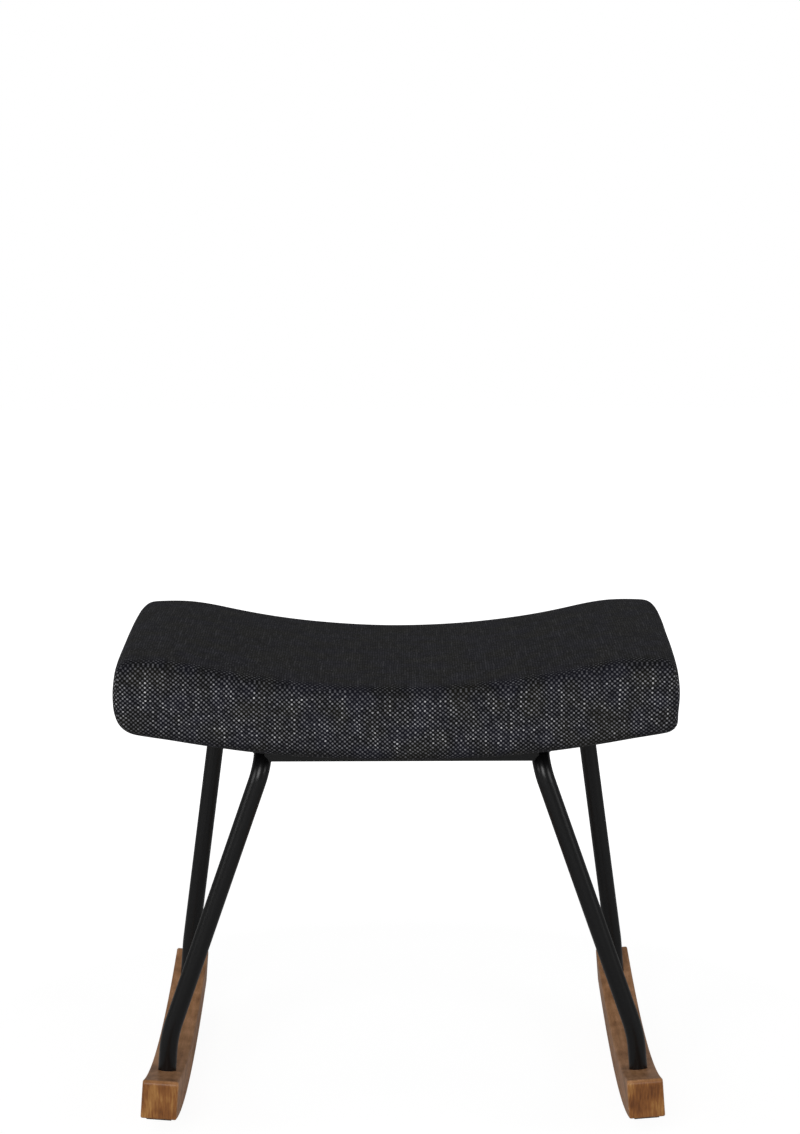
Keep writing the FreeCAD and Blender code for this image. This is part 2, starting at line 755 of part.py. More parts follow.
def make_dust_cover():
    """Thin sheet just under the board, stepped down over the cover's hem and stapled there."""
    sheet_depth = size("dust_cover_thickness")
    cover_depth = size("cover_thickness")
    hem_edge = size("board_inset") + size("hem_width")
    corner = size("board_corner_round")
    upper_face = dust_cover_level() + sheet_depth
    outer = arched_slab(hem_edge - size("dust_cover_overlap"), -sheet_depth, upper_face, corner)
    hem_space = arched_slab(hem_edge - size("dust_cover_overlap") - sheet_depth, 0, cover_depth, corner)
    step = arched_slab(hem_edge, -2 * sheet_depth, 2 * cover_depth, corner)
    hollow = arched_slab(hem_edge + sheet_depth, -2 * sheet_depth, dust_cover_level(), corner)
    cloth = outer.cut(hem_space.cut(step)).cut(hollow)
    hole = size("screw_diameter") + 2 * size("screw_hole_clearance")
    drill = cylinder(hole, size("tube_diameter"))
    for place in seat_screw_places():
        cloth = cloth.cut(placed(drill, place))
    cloth = cloth.cut(Part.makeCompound(dust_cover_staple_solids()))
    add_shape("dust_cover", cloth)


# Fasteners

def make_seat_fasteners():
    """Seat screws with their washers, and the tee nuts in the board."""
    below_tube = -size("tube_diameter") / 2
    below_washer = below_tube - size("washer_thickness")
    below_spring = below_washer - size("spring_washer_thickness")
    places = seat_screw_places()
    group("seat_washers", flat_washer(), [shifted(place, below_tube) for place in places])
    group("seat_spring_washers", spring_washer(), [shifted(place, below_washer) for place in places])
    screw = button_screw(size("seat_screw_length"))
    group("seat_screws", screw, [shifted(place, below_spring) for place in places])
    group("tee_nuts", tee_nut(), tee_nut_places())


def make_rocker_fasteners():
    """Plugs in the tube ends and the screws that draw them down into the rockers."""
    web = size("rocker_height") - size("socket_depth") - size("counterbore_depth")
    places = rocker_screw_places()
    group("leg_plugs", leg_plug(), places)
    group("rocker_washers", flat_washer(), [shifted(place, -web) for place in places])
    screw = button_screw(size("rocker_screw_length"))
    group("rocker_screws", screw, [shifted(place, -web - size("washer_thickness")) for place in places])


def group(label, shape, places):
    """One node that holds a copy of the same solid at each place."""
    return add_shape(label, Part.makeCompound([placed(shape, place) for place in places]))


def check_document():
    """Stop if any object of the document failed or any piece has no valid shape."""
    for item in doc.Objects:
        if "Invalid" in item.State or "Error" in item.State:
            raise RuntimeError(f"{item.Name} failed: {item.State}")
    for item in nodes:
        if item.Shape.isNull() or not item.Shape.isValid() or not item.Shape.Solids:
            raise RuntimeError(f"{item.Label} has no valid solid")


for name, side in (("left", -1), ("right", 1)):
    make_rocker(f"rocker_{name}", side)
    make_glide_strip(f"glide_strip_{name}", side)
    make_side_frame(f"side_frame_{name}", side)
make_cross_rail("cross_rail_front", rail_rows()[0] + size("cross_rail_inset"))
make_cross_rail("cross_rail_rear", rail_rows()[1] - size("cross_rail_inset"))
make_rocker_fasteners()
make_seat_fasteners()
make_seat_board()
make_seat_layers()
make_dust_cover()
add_shape("cover_staples", Part.makeCompound(cover_staple_solids()))
add_shape("dust_cover_staples", Part.makeCompound(dust_cover_staple_solids()))

doc.recompute()
check_document()
os.makedirs("parts", exist_ok=True)
for item in nodes:
    item.Shape.exportStep(f"parts/{item.Label}.step")
    solids = item.Shape.Solids
    print(item.Label, len(solids), "solids", round(sum(solid.Volume for solid in solids) / 1000, 2), "cm3")
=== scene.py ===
import bmesh
import bpy
import math
from mathutils import Matrix, Vector, noise


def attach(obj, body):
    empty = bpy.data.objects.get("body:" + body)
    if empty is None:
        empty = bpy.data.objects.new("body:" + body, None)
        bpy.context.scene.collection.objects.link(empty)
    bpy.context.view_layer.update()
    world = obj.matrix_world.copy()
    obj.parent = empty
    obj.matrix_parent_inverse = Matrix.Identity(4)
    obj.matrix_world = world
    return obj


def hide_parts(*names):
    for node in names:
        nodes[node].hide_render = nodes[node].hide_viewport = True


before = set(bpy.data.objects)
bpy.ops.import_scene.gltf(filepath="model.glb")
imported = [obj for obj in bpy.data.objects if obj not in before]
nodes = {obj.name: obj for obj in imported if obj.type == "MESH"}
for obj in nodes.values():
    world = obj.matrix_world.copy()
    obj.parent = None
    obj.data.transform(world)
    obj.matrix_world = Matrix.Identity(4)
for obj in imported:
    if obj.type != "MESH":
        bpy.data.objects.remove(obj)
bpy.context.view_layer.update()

mm = 0.001


# colours are written as sRGB hex and turned to linear here
def linear(hexColour):
    channels = [int(hexColour[k:k + 2], 16) / 255 for k in (1, 3, 5)]
    return tuple(c / 12.92 if c <= 0.04045 else ((c + 0.055) / 1.055) ** 2.4 for c in channels) + (1.0,)


# fills inputs with plain values, with outputs, or with nodes, whose first output is meant
def fillInputs(tree, node, inputs):
    for key, source in inputs.items():
        if isinstance(source, bpy.types.Node):
            source = source.outputs[0]
        if isinstance(source, bpy.types.NodeSocket):
            tree.links.new(source, node.inputs[key])
        else:
            node.inputs[key].default_value = source


# adds one node: sources fill its inputs in order, inputs fills them by name or number, and stops
# colours a ramp
def addNode(tree, kind, *sources, inputs=None, stops=(), **fields):
    node = tree.nodes.new("ShaderNode" + kind)
    for name, setting in fields.items():
        setattr(node, name, setting)
    fillInputs(tree, node, {**dict(enumerate(sources)), **(inputs or {})})
    if stops:
        elements = node.color_ramp.elements
        while len(elements) < len(stops):
            elements.new(0.5)
        for element, (place, colour) in zip(elements, stops):
            element.position = place
            element.color = linear(colour)
    return node


def newMaterial(name):
    material = bpy.data.materials.new(name)
    material.use_nodes = True
    tree = material.node_tree
    shader = next(node for node in tree.nodes if node.type == "BSDF_PRINCIPLED")
    return material, tree, shader


def give(material, *names):
    for name in names:
        data = nodes[name].data
        data.materials.clear()
        data.materials.append(material)


# woven upholstery cloth: matt black with grey yarn that shows as staggered dots, painted fainter on top as
# shade
clothLook = {
    "yarnAcross": 2.4,       # mm between upright yarns
    "yarnAlong": 2.15,       # mm between level yarns
    "blackYarn": "#0c0c10",
    "blueBlack": "#12121c",
    "brownBlack": "#151410",
    "greyYarn": "#77777b",
    "brightYarn": "#d0d0d0",
    "topFrom": 0.75,         # cloth counts as the upper face where it faces up this much
    "shadedTopShare": 0.46,        # how much of the grey shows on the upper face, dimmed there as painted shade
    "fadeFrom": 0.12,        # facing up this much, the grey starts to fade into painted shade
    "fadeTo": 0.8,
    "patchSize": 30.0,       # mm
    "wanderLength": 18.181818,    # mm
    "wander": 1.4,           # yarns
    "dotLeast": 0.24,        # every dot's brightness, before chance and slubs add to it
    "dotChance": 0.5,
    "dotRound": 0.7,         # under 1 the dots are broader
    "yarnStep": 7.31,        # far enough apart in the noise that neighbouring yarns don't match
    "slubLength": 18.0,      # yarns
    "slubFrom": 0.52,        # the noise above this is a slub
    "uprightSlub": 2.3,      # how strongly a slub brightens its yarn
    "levelSlub": 1.1,
    "roughness": 0.92,
    "specular": 0.12,        # loose fibres scatter light and give no clear reflection
    "sheen": 0.02,
    "reliefHeight": 0.35,    # mm
    "reliefStrength": 0.7,
}


def wovenCloth():
    material, tree, shader = newMaterial("wovenPolyesterCloth")
    place = addNode(tree, "TexCoord")
    x, y, z = addNode(tree, "SeparateXYZ", place.outputs["Object"]).outputs
    facing = addNode(tree, "VectorMath", place.outputs["Normal"], operation="ABSOLUTE")
    facingX, facingY, facingZ = addNode(tree, "SeparateXYZ", facing).outputs

    # the weave lies in the plane that the cloth faces: top, front or side
    isTop = addNode(tree, "Math", facingZ, clothLook["topFrom"], operation="GREATER_THAN")
    notTop = addNode(tree, "Math", 1.0, isTop, operation="SUBTRACT")
    sideways = addNode(tree, "Math", facingX, facingY, operation="GREATER_THAN")
    isSide = addNode(tree, "Math", sideways, notTop, operation="MULTIPLY")
    notSide = addNode(tree, "Math", 1.0, isSide, operation="SUBTRACT")
    yOnSide = addNode(tree, "Math", y, isSide, operation="MULTIPLY")
    xElsewhere = addNode(tree, "Math", x, notSide, operation="MULTIPLY")
    across = addNode(tree, "Math", yOnSide, xElsewhere, operation="ADD")
    yOnTop = addNode(tree, "Math", y, isTop, operation="MULTIPLY")
    zElsewhere = addNode(tree, "Math", z, notTop, operation="MULTIPLY")
    along = addNode(tree, "Math", yOnTop, zElsewhere, operation="ADD")

    # yarns wander a little, so the rows are not ruled lines
    wander = addNode(tree, "TexNoise", inputs={"Vector": place.outputs["Object"], "Detail": 2.0,
                                               "Scale": 1 / (clothLook["wanderLength"] * mm)})
    eitherWay = addNode(tree, "Math", wander, 0.5, operation="SUBTRACT")
    shift = addNode(tree, "Math", eitherWay, clothLook["wander"], operation="MULTIPLY")

    # each yarn is a hump between its neighbours, and each crossing is a cell
    cells = []
    humps = []
    for distance, spacing in ((across, clothLook["yarnAcross"]), (along, clothLook["yarnAlong"])):
        evenCount = addNode(tree, "Math", distance, spacing * mm, operation="DIVIDE")
        count = addNode(tree, "Math", evenCount, shift, operation="ADD")
        cells.append(addNode(tree, "Math", count, operation="FLOOR"))
        part = addNode(tree, "Math", count, operation="FRACT")
        angle = addNode(tree, "Math", part, math.pi, operation="MULTIPLY")
        humps.append(addNode(tree, "Math", angle, operation="SINE"))
    hump = addNode(tree, "Math", *humps, operation="MULTIPLY")
    cellSum = addNode(tree, "Math", *cells, operation="ADD")
    greyOver = addNode(tree, "Math", cellSum, 1.0, operation="PINGPONG")
    cell = addNode(tree, "CombineXYZ", *cells)
    chance = addNode(tree, "TexWhiteNoise", cell, noise_dimensions="3D")

    # slubs: a yarn runs brighter over some crossings
    step = clothLook["yarnStep"]
    run = 1 / clothLook["slubLength"]
    slubs = []
    for stepAcross, stepAlong, brighter in ((step, run, clothLook["uprightSlub"]),
                                            (run, step, clothLook["levelSlub"])):
        spotAcross = addNode(tree, "Math", cells[0], stepAcross, operation="MULTIPLY")
        spotAlong = addNode(tree, "Math", cells[1], stepAlong, operation="MULTIPLY")
        spot = addNode(tree, "CombineXYZ", spotAcross, spotAlong)
        streak = addNode(tree, "TexNoise", inputs={"Vector": spot, "Scale": 1.0, "Detail": 1.0})
        above = addNode(tree, "Math", streak, clothLook["slubFrom"], operation="SUBTRACT")
        onlyAbove = addNode(tree, "Math", above, 0.0, operation="MAXIMUM")
        slubs.append(addNode(tree, "Math", onlyAbove, brighter, operation="MULTIPLY"))
    slub = addNode(tree, "Math", *slubs, operation="ADD")

    # painted shade: the grey fades out where the cloth turns over the edge on to the upper face, which gets
    # less light, and seen low, its raised black yarn hides the grey
    fade = addNode(tree, "MapRange", inputs={"Value": facingZ, "From Min": clothLook["fadeFrom"],
                                             "From Max": clothLook["fadeTo"],
                                             "To Min": 1.0, "To Max": clothLook["shadedTopShare"]})
    byChance = addNode(tree, "Math", chance, clothLook["dotChance"], operation="MULTIPLY")
    added = addNode(tree, "Math", byChance, slub, operation="ADD")
    vary = addNode(tree, "Math", clothLook["dotLeast"], added, operation="ADD")
    dotShape = addNode(tree, "Math", hump, clothLook["dotRound"], operation="POWER")
    dots = addNode(tree, "Math", greyOver, dotShape, operation="MULTIPLY")
    # the fade darkens the dots on the upper face: painted shade, not a change in the cloth
    brightness = addNode(tree, "Math", vary, fade, operation="MULTIPLY")
    strength = addNode(tree, "Math", dots, brightness, operation="MULTIPLY")

    patch = addNode(tree, "TexNoise", inputs={"Vector": place.outputs["Object"], "Detail": 2.0,
                                              "Scale": 1 / (clothLook["patchSize"] * mm)})
    ground = addNode(tree, "ValToRGB", patch, stops=[(0.36, clothLook["brownBlack"]),
                                                     (0.5, clothLook["blackYarn"]),
                                                     (0.64, clothLook["blueBlack"])])
    grey = addNode(tree, "ValToRGB", strength, stops=[(0.0, "#000000"), (0.6, clothLook["greyYarn"]),
                                                      (1.0, clothLook["brightYarn"])])
    shade = addNode(tree, "VectorMath", ground, grey, operation="ADD")
    relief = addNode(tree, "Bump", inputs={"Height": hump, "Strength": clothLook["reliefStrength"],
                                           "Distance": clothLook["reliefHeight"] * mm})
    fillInputs(tree, shader, {"Base Color": shade, "Normal": relief, "Roughness": clothLook["roughness"],
                              "Specular IOR Level": clothLook["specular"],
                              "Sheen Weight": clothLook["sheen"]})
    return material


# oiled hardwood: fine straight grain along each rocker, darker and browner on the sawn ends
woodLook = {
    "dark": "#8f603a",
    "middle": "#b88458",
    "light": "#daa378",
    "endDark": "#663710",
    "endMiddle": "#945c28",
    "endLight": "#c08c4c",
    "bandWidth": 6.0,        # mm
    "fibreWidth": 0.5,       # mm
    "rayWidth": 1.4,         # mm
    "patchSize": 22.0,       # mm
    "fibreStretch": 0.05,    # a fibre's width over its length
    "rayStretch": 0.12,      # the streaks on the ends stand upright: width over height
    "patchStretch": 0.7,
    "sideShares": (0.35, 0.3, 0.35),    # bands, fibres, patches
    "endShares": (0.4, 0.6),            # rays, patches
    "endFrom": 0.4,          # facing along the rocker this much, the end's colours start
    "endTo": 0.95,
    "roughness": 0.42,
    "reliefHeight": 0.12,    # mm
    "reliefStrength": 0.3,
}


def oiledHardwood():
    material, tree, shader = newMaterial("oiledHardwood")
    place = addNode(tree, "TexCoord")

    def streaks(stretch, width, detail):
        stretched = addNode(tree, "Mapping", inputs={"Vector": place.outputs["Object"], "Scale": stretch})
        return addNode(tree, "TexNoise", inputs={"Vector": stretched, "Scale": 1 / (width * mm),
                                                 "Detail": detail, "Roughness": 0.6})

    def blend(layers, shares):
        total = 0.0
        for layer, share in zip(layers, shares):
            part = addNode(tree, "Math", layer, share, operation="MULTIPLY")
            total = addNode(tree, "Math", total, part, operation="ADD")
        return total

    alongRocker = (1.0, woodLook["fibreStretch"], 1.0)
    bands = streaks(alongRocker, woodLook["bandWidth"], 2.0)
    fibre = streaks(alongRocker, woodLook["fibreWidth"], 3.0)
    rays = streaks((1.0, 1.0, woodLook["rayStretch"]), woodLook["rayWidth"], 4.0)
    patches = streaks((1.0, 1.0, woodLook["patchStretch"]), woodLook["patchSize"], 2.0)
    grain = blend((bands, fibre, patches), woodLook["sideShares"])
    endGrain = blend((rays, patches), woodLook["endShares"])
    side = addNode(tree, "ValToRGB", grain, stops=[(0.36, woodLook["dark"]), (0.5, woodLook["middle"]),
                                                   (0.64, woodLook["light"])])
    end = addNode(tree, "ValToRGB", endGrain, stops=[(0.35, woodLook["endDark"]),
                                                     (0.5, woodLook["endMiddle"]),
                                                     (0.66, woodLook["endLight"])])
    facing = addNode(tree, "VectorMath", place.outputs["Normal"], operation="ABSOLUTE")
    lengthwise = addNode(tree, "SeparateXYZ", facing).outputs["Y"]
    isEnd = addNode(tree, "MapRange", inputs={"Value": lengthwise, "From Min": woodLook["endFrom"],
                                              "From Max": woodLook["endTo"]})
    # inputs 6 and 7 and output 2 are the mix's colours
    colour = addNode(tree, "Mix", inputs={"Factor": isEnd, 6: side, 7: end}, data_type="RGBA")
    relief = addNode(tree, "Bump", inputs={"Height": fibre, "Strength": woodLook["reliefStrength"],
                                           "Distance": woodLook["reliefHeight"] * mm})
    fillInputs(tree, shader, {"Base Color": colour.outputs[2], "Normal": relief,
                              "Roughness": woodLook["roughness"]})
    return material


# finishes of two near shades; grain and relief are in mm
finishes = {
    # satin powder coat: near black, with a narrow soft highlight and a fine orange peel
    "powderCoatedSteel": {"darker": "#0b0b0c", "lighter": "#0f0f10", "grain": 1.6, "relief": 0.05,
                          "roughness": 0.3, "metallic": 0.0},
    # zinc plate: grey with a slight patchiness in its shade
    "zincPlatedSteel": {"darker": "#b9bcbd", "lighter": "#cfd1d0", "grain": 2.5, "relief": 0.02,
                        "roughness": 0.32, "metallic": 1.0},
    # galvanised wire: grey, a little duller than the plate
    "galvanisedWire": {"darker": "#aaadad", "lighter": "#c6c8c8", "grain": 1.0, "relief": 0.02,
                       "roughness": 0.35, "metallic": 1.0},
    # pressed felt: matt, with fibres pointing every way
    "pressedFelt": {"darker": "#1d1b1a", "lighter": "#2e2b29", "grain": 0.8, "relief": 0.25,
                    "roughness": 0.98, "metallic": 0.0},
    # spun-bonded cloth: black with a faint fibre pattern
    "spunBondedCloth": {"darker": "#171718", "lighter": "#262627", "grain": 1.4, "relief": 0.15,
                        "roughness": 0.85, "metallic": 0.0},
}
coatSpecular = 0.35          # for the finishes that aren't metal; a metal keeps the default


def plainFinish(name):
    finish = finishes[name]
    material, tree, shader = newMaterial(name)
    place = addNode(tree, "TexCoord").outputs["Object"]
    grain = addNode(tree, "TexNoise", inputs={"Vector": place, "Scale": 1 / (finish["grain"] * mm),
                                              "Detail": 3.0})
    shade = addNode(tree, "ValToRGB", grain, stops=[(0.35, finish["darker"]), (0.65, finish["lighter"])])
    relief = addNode(tree, "Bump", inputs={"Height": grain, "Strength": 0.3,
                                           "Distance": finish["relief"] * mm})
    fillInputs(tree, shader, {"Base Color": shade, "Normal": relief, "Roughness": finish["roughness"],
                              "Metallic": finish["metallic"]})
    if finish["metallic"] == 0.0:
        fillInputs(tree, shader, {"Specular IOR Level": coatSpecular})
    return material


# bent plywood: pale veneer, unfinished and matt, with its grain across the seat
plywoodLook = {
    "dark": "#a98a5e",
    "light": "#cbb083",
    "grainWidth": 4.545,     # mm
    "grainStretch": 0.08,    # a streak's width over its length
    "roughness": 0.7,
}


def bentPlywood():
    material, tree, shader = newMaterial("bentPlywood")
    place = addNode(tree, "TexCoord").outputs["Object"]
    stretched = addNode(tree, "Mapping", inputs={"Vector": place,
                                                 "Scale": (plywoodLook["grainStretch"], 1.0, 1.0)})
    grain = addNode(tree, "TexNoise", inputs={"Vector": stretched, "Detail": 4.0,
                                              "Scale": 1 / (plywoodLook["grainWidth"] * mm)})
    shade = addNode(tree, "ValToRGB", grain, stops=[(0.3, plywoodLook["dark"]),
                                                    (0.7, plywoodLook["light"])])
    fillInputs(tree, shader, {"Base Color": shade, "Roughness": plywoodLook["roughness"]})
    return material


cloth = wovenCloth()
hardwood = oiledHardwood()
plainMaterials = {name: plainFinish(name) for name in finishes}
give(hardwood, "rocker_left", "rocker_right")
give(plainMaterials["pressedFelt"], "glide_strip_left", "glide_strip_right")
give(plainMaterials["powderCoatedSteel"], "side_frame_left", "side_frame_right", "cross_rail_front",
     "cross_rail_rear")
give(plainMaterials["zincPlatedSteel"], "leg_plugs", "rocker_washers", "rocker_screws", "seat_washers",
     "seat_spring_washers", "seat_screws", "tee_nuts")
give(plainMaterials["galvanisedWire"], "cover_staples", "dust_cover_staples")
give(bentPlywood(), "seat_base")
print("finishes are on the frame's own pieces")


# keeps a point within a rectangle about the middle whose corners have this radius
def roundCorner(x, y, reachX, reachY, radius):
    coreX = max(-(reachX - radius), min(reachX - radius, x))
    coreY = max(-(reachY - radius), min(reachY - radius, y))
    away = Vector((x - coreX, y - coreY))
    if away.length > radius:
        away = away.normalized() * radius
    return coreX + away.x, coreY + away.y


def fillGrid(mesh, grid, across, deep, facesUp):
    for i in range(across):
        for j in range(deep):
            second, fourth = (i + 1, j), (i, j + 1)
            if not facesUp:
                second, fourth = fourth, second
            mesh.faces.new([grid[corner] for corner in ((i, j), second, (i + 1, j + 1), fourth)])


def newPiece(name, mesh):
    data = bpy.data.meshes.new(name)
    mesh.to_mesh(data)
    mesh.free()
    for face in data.polygons:
        face.use_smooth = True
    piece = bpy.data.objects.new(name, data)
    bpy.context.scene.collection.objects.link(piece)
    return piece


# the seat's form, in metres, as the solids have it
seatForm = {
    "width": 550 * mm, "flare": 3 * mm, "depth": 336 * mm, "forward": 8 * mm,
    "underside": 381 * mm, "thickness": 72.5 * mm, "peakRise": 30 * mm, "crown": 4 * mm,
    "saddleRadius": 815 * mm, "undersideRadius": 1480 * mm, "shoulder": 16 * mm,
    "lowerEdge": 17 * mm, "sideCrown": 2 * mm, "planCorner": 15 * mm,
    "hemInset": 46 * mm, "boardInset": 20 * mm, "clothThickness": 1.2 * mm, "pocketTop": 15 * mm,
    # only the scene has these: the padding stands proud under the middle of the board's edge, and draws
    # in towards the ends
    "rimDrop": 3 * mm, "rimReach": 190 * mm, "rimLift": 1.1 * mm,
    "softInset": 0.3 * mm,   # the form starts this much smaller, and the pressure fills it
    "clothGap": 0.1 * mm, "boardGap": 0.4 * mm,
    "hemRows": (28 * mm, 37 * mm), "pocketRow": 33 * mm, "roofInset": 60 * mm,
    "cellsAcross": 64, "cellsDeep": 40, "shoulderRows": 5, "sideRows": 6, "lowerRows": 4,
    "pressure": 0.22, "frames": 16, "mostMove": 4 * mm, "stiffness": 60, "bending": 10,
}


def underside(x):
    radius = seatForm["undersideRadius"]
    return seatForm["underside"] + radius - math.sqrt(radius ** 2 - x ** 2)


def rim(x):
    drop = seatForm["rimDrop"] * (1 - (x / seatForm["rimReach"]) ** 2)
    return max(drop, -seatForm["rimLift"])


# height of the upper face: a hollow arc that runs into a swelling one, crowned from front to back
def saddle(x, y):
    peak = seatForm["width"] / 2 - seatForm["sideCrown"] - seatForm["shoulder"]
    rise, radius = seatForm["peakRise"], seatForm["saddleRadius"]
    lean = 2 * math.atan(rise / peak)
    swell = peak / math.sin(lean) - radius
    low = seatForm["underside"] + seatForm["thickness"]
    x = min(abs(x), peak)
    if x <= radius * math.sin(lean):
        height = low + radius - math.sqrt(radius ** 2 - x ** 2)
    else:
        height = low + rise - swell + math.sqrt(swell ** 2 - (peak - x) ** 2)
    return height - seatForm["crown"] * ((y + seatForm["forward"]) / (seatForm["depth"] / 2)) ** 2


# plan position of a point whose shares of the half width and half depth are s and t
def onPlan(s, t, inset):
    reachX = seatForm["width"] / 2 + seatForm["flare"] * t - inset
    reachY = seatForm["depth"] / 2 - inset
    corner = max(seatForm["planCorner"] - inset, 0.0)
    x, y = roundCorner(s * reachX, t * reachY, reachX, reachY, corner)
    return x, y - seatForm["forward"]


def perimeter():
    across, deep = seatForm["cellsAcross"], seatForm["cellsDeep"]
    ring = [(i, 0) for i in range(across)] + [(across, j) for j in range(deep)]
    ring += [(i, deep) for i in range(across, 0, -1)] + [(0, j) for j in range(deep, 0, -1)]
    return ring


def buildSeatCover():
    across, deep = seatForm["cellsAcross"], seatForm["cellsDeep"]
    shoulder, lower = seatForm["shoulder"], seatForm["lowerEdge"]
    bulge, soft = seatForm["sideCrown"], seatForm["softInset"]
    ring = perimeter()
    shares = {(i, j): (2 * i / across - 1, 2 * j / deep - 1)
              for i in range(across + 1) for j in range(deep + 1)}
    mesh = bmesh.new()
    top = {}
    for key, (s, t) in shares.items():
        x, y = onPlan(s, t, bulge + shoulder + soft)
        top[key] = mesh.verts.new((x, y, saddle(x, y) - soft))
    fillGrid(mesh, top, across, deep, facesUp=True)

    def addRing(before, inset, height):
        after = []
        for key in ring:
            x, y = onPlan(*shares[key], inset)
            after.append(mesh.verts.new((x, y, height(x, y))))
        for k in range(len(ring)):
            following = (k + 1) % len(ring)
            mesh.faces.new([before[k], after[k], after[following], before[following]])
        return after

    last = [top[key] for key in ring]
    rows = seatForm["shoulderRows"]
    for row in range(1, rows + 1):
        angle = math.pi / 2 * row / rows
        inset = bulge + soft + shoulder * (1 - math.sin(angle))
        drop = shoulder * (1 - math.cos(angle))
        last = addRing(last, inset, lambda x, y: saddle(x, y) - soft - drop)
    rows = seatForm["sideRows"]
    for row in range(1, rows + 1):
        down = row / rows
        inset = soft + bulge * (1 - 4 * down * (1 - down))

        def sideHeight(x, y):
            high = saddle(x, y) - soft - shoulder
            return high + (underside(x) + lower - high) * down

        last = addRing(last, inset, sideHeight)
    rows = seatForm["lowerRows"]
    for row in range(1, rows + 1):
        angle = math.pi / 2 * row / rows
        turned = math.sin(angle)
        inset = bulge + soft * (1 - row / rows) + lower * (1 - math.cos(angle))
        last = addRing(last, inset, lambda x, y: underside(x) + lower * (1 - turned) - rim(x) * turned ** 2)

    # the hem turns under the board, and the pocket behind it holds the board
    pinnedFrom = len(mesh.verts)
    hem, roofInset, ceiling = seatForm["hemInset"], seatForm["roofInset"], seatForm["pocketTop"]
    thick = seatForm["clothThickness"] - seatForm["clothGap"]
    boardEdge = seatForm["boardInset"] - seatForm["boardGap"]
    path = [(inset, 0.0) for inset in seatForm["hemRows"]]
    path += [(hem, 0.0), (hem, thick), (seatForm["pocketRow"], thick)]
    path += [(boardEdge, thick), (boardEdge, ceiling), (roofInset, ceiling)]
    for inset, level in path:
        last = addRing(last, inset, lambda x, y: underside(x) + level)
    roof = dict(zip(ring, last))
    for key, (s, t) in shares.items():
        if key not in roof:
            x, y = onPlan(s, t, roofInset)
            roof[key] = mesh.verts.new((x, y, underside(x) + ceiling))
    fillGrid(mesh, roof, across, deep, facesUp=False)
    bmesh.ops.recalc_face_normals(mesh, faces=mesh.faces)
    return newPiece("seatCover", mesh), pinnedFrom


# puffs the cloth from inside and keeps every point within mostMove of where it started
def inflate(cover, pinnedFrom):
    scene = bpy.context.scene
    frames, most = seatForm["frames"], seatForm["mostMove"]
    start = [vertex.co.copy() for vertex in cover.data.vertices]
    group = cover.vertex_groups.new(name="held")
    group.add(list(range(pinnedFrom, len(start))), 1.0, "REPLACE")
    modifier = cover.modifiers.new("stuffing", "CLOTH")
    settings = modifier.settings
    settings.use_pressure = True
    settings.uniform_pressure_force = seatForm["pressure"]
    settings.tension_stiffness = seatForm["stiffness"]
    settings.compression_stiffness = seatForm["stiffness"]
    settings.bending_stiffness = seatForm["bending"]
    settings.vertex_group_mass = "held"
    settings.effector_weights.gravity = 0
    modifier.point_cache.frame_start = 1
    modifier.point_cache.frame_end = frames
    for number in range(1, frames + 1):
        scene.frame_set(number)
    shown = cover.evaluated_get(bpy.context.evaluated_depsgraph_get())
    moved = [vertex.co.copy() for vertex in shown.data.vertices]
    cover.modifiers.remove(modifier)
    scene.frame_set(1)
    furthest = 0.0
    outward = 0.0
    for vertex, first, last in zip(cover.data.vertices, start, moved):
        step = last - first
        if vertex.index < pinnedFrom:
            outward += step.dot(vertex.normal)
        if step.length > most:
            step = step.normalized() * most
        furthest = max(furthest, step.length)
        vertex.co = first + step
    print("stuffing moved the cloth by up to", round(furthest / mm, 2), "mm, on average",
          round(outward / pinnedFrom / mm, 2), "mm outwards")


# hand-stretched cloth is never quite even: slow waves, and two small lumps where it is tucked under
unevenness = {
    "height": 0.6 * mm, "waveLength": 90 * mm, "turn": 0.009, "drift": -3.6 * mm,
    "freeAbove": 20 * mm,    # over the underside; nearer to it the hem holds the cloth
    "cornerDrop": 3 * mm, "cornerFrom": (222 * mm, 118 * mm), "cornerOver": (50 * mm, 48 * mm),
    # each lump: x, y, z, height
    "lumps": [(238 * mm, -172 * mm, 386 * mm, 3.0 * mm), (-246 * mm, -172 * mm, 392 * mm, 1.6 * mm)],
    "lumpSize": 7 * mm,
}


def unsettle(cover, pinnedFrom):
    endFrom, edgeFrom = unevenness["cornerFrom"]
    endOver, edgeOver = unevenness["cornerOver"]
    for vertex in cover.data.vertices:
        if vertex.index >= pinnedFrom:
            continue
        push = noise.noise(vertex.co / unevenness["waveLength"]) * unevenness["height"]
        vertex.co += vertex.normal * push
        # the padding sits slightly askew on its board; the turned-under hem stays where it is
        free = min(1.0, max(0.0, (vertex.co.z - underside(vertex.co.x)) / unevenness["freeAbove"]))
        nearEnd = max(0.0, abs(vertex.co.x) - endFrom) / endOver
        nearEdge = max(0.0, abs(vertex.co.y + seatForm["forward"]) - edgeFrom) / edgeOver
        vertex.co.z -= free * unevenness["cornerDrop"] * min(1.0, nearEnd) * min(1.0, nearEdge)
        vertex.co.x += free * (unevenness["turn"] * vertex.co.y + unevenness["drift"])
        for x, y, z, height in unevenness["lumps"]:
            away = (vertex.co - Vector((x, y, z))).length / unevenness["lumpSize"]
            vertex.co.z -= height * math.exp(-away * away)


cover, pinnedFrom = buildSeatCover()
inflate(cover, pinnedFrom)
unsettle(cover, pinnedFrom)
smooth = cover.modifiers.new("fineness", "SUBSURF")
smooth.levels = smooth.render_levels = 1
cover.data.materials.append(cloth)
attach(cover, "root")
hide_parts("seat_cover", "seat_wadding", "seat_foam")
print("seat cover built:", len(cover.data.vertices), "points")


# the black cloth that closes the underside: its edge lies on the hem, and it is slack further in
dustForm = {
    "inset": 34 * mm, "corner": 14 * mm, "cells": (110, 62),
    "onHem": -0.35 * mm, "underBoard": 0.55 * mm, "stepLength": 3 * mm, "thickness": 0.5 * mm,
    "slack": 0.25 * mm, "slackWave": 50 * mm,
    "archShare": 1.005,      # the arch makes it this much longer across than its plan
}


